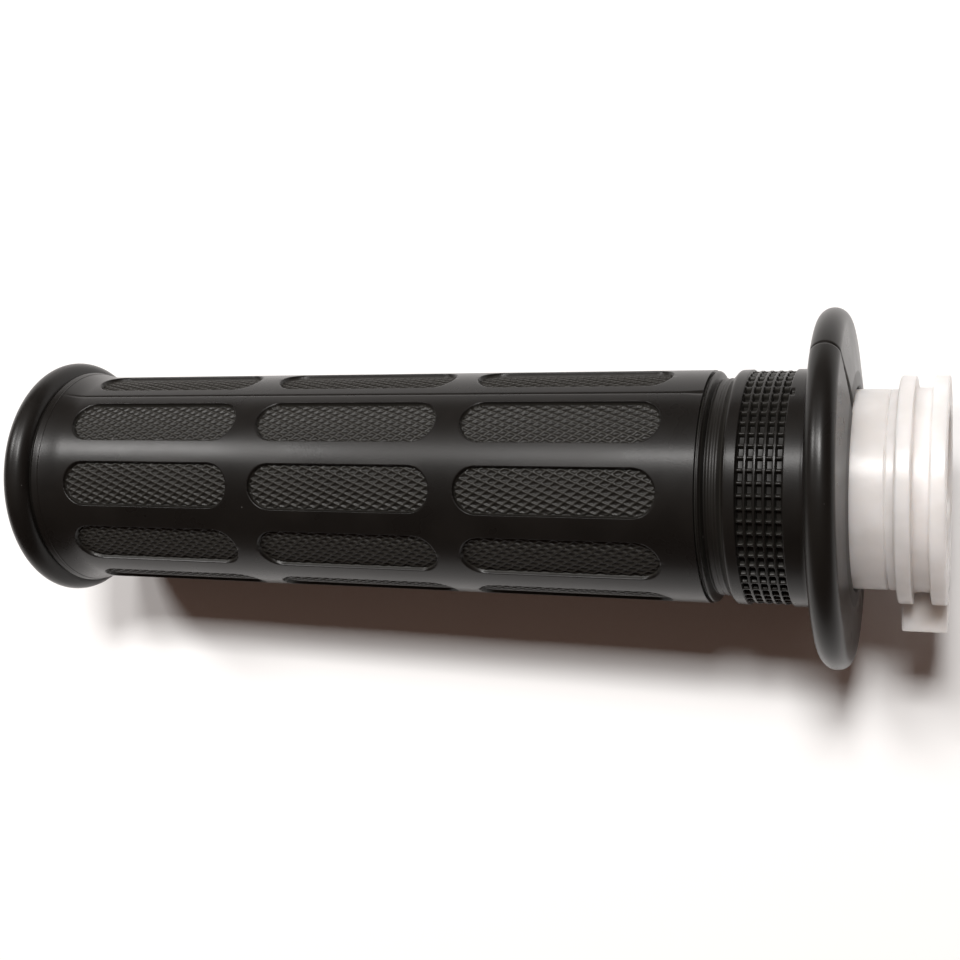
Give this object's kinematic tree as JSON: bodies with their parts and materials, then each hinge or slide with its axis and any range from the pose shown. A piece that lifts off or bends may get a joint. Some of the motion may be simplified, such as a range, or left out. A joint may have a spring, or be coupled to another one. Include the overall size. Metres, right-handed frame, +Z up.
{
  "type": "motorcycle throttle grip",
  "caption": "Rubber throttle grip with knurled finger pads, a bell end and a round flange, on a nylon throttle tube with a cable drum and a lug.",
  "frame": {"origin": "on the handlebar's axis, at the throttle tube's inboard end face", "axes": "+X along the handlebar, from the bell end towards the middle of the handlebar; +Z up, with the cable lug pointing forward and down, 20 degrees below -Y"},
  "size_m": [0.1412, 0.0498, 0.0498],
  "materials": {
    "rubber": "satin moulded black rubber",
    "nylon": "milky natural nylon, slightly translucent, satin"
  },
  "bodies": {
    "root": {"grip_rubber": "rubber", "throttle_tube": "nylon"}
  },
  "joints": []
}
